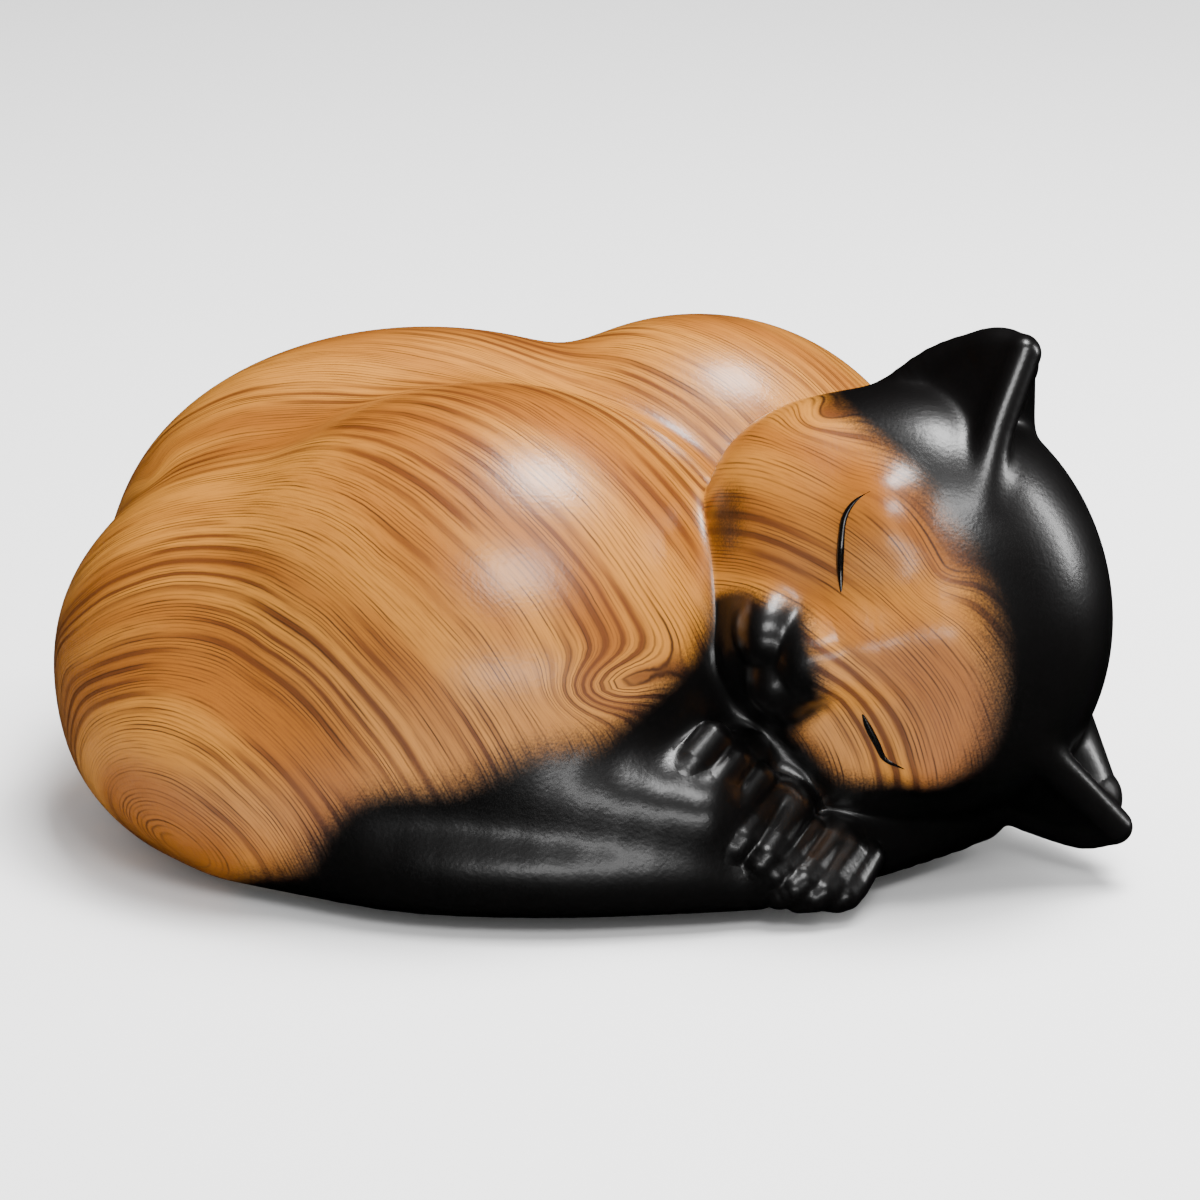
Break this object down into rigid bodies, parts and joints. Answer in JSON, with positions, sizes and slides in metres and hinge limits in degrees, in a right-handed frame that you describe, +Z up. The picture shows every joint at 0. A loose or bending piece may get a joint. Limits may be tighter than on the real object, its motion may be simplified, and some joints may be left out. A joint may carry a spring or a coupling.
{
  "type": "ceramic cat figurine",
  "caption": "Curled-up sleeping cat figurine, a hollow ceramic body and head with luted ears, legs, paws and tail, on felt feet, with a rubber bung in its base.",
  "frame": {"origin": "under the middle of the figure's box, on the surface that its felt pads stand on", "axes": "+X from the rump to the head, +Y from the face to the back, +Z up"},
  "size_m": [0.2772, 0.1902, 0.1423],
  "materials": {
    "printed_glaze": "satin lacquer over a printed wood-grain film, airbrushed black at the points",
    "black_glaze": "gloss black",
    "bung_rubber": "matt moulded rubber",
    "felt": "pressed felt"
  },
  "bodies": {
    "figure": {"torso_casting": "printed_glaze", "head_casting": "printed_glaze", "ear_right": "black_glaze", "ear_left": "black_glaze", "hind_leg": "black_glaze", "tail": "black_glaze", "foreleg": "black_glaze", "hind_paw": "black_glaze", "forepaw_left": "black_glaze", "forepaw_right": "black_glaze", "felt_pad_1": "felt", "felt_pad_2": "felt", "felt_pad_3": "felt", "felt_pad_4": "felt"},
    "bung": {"base_bung": "bung_rubber"}
  },
  "joints": [
    {"name": "bung_pull", "type": "slide", "parent": "figure", "child": "bung", "axis": [0, 0, -1], "range_m": [0, 0.02]}
  ]
}
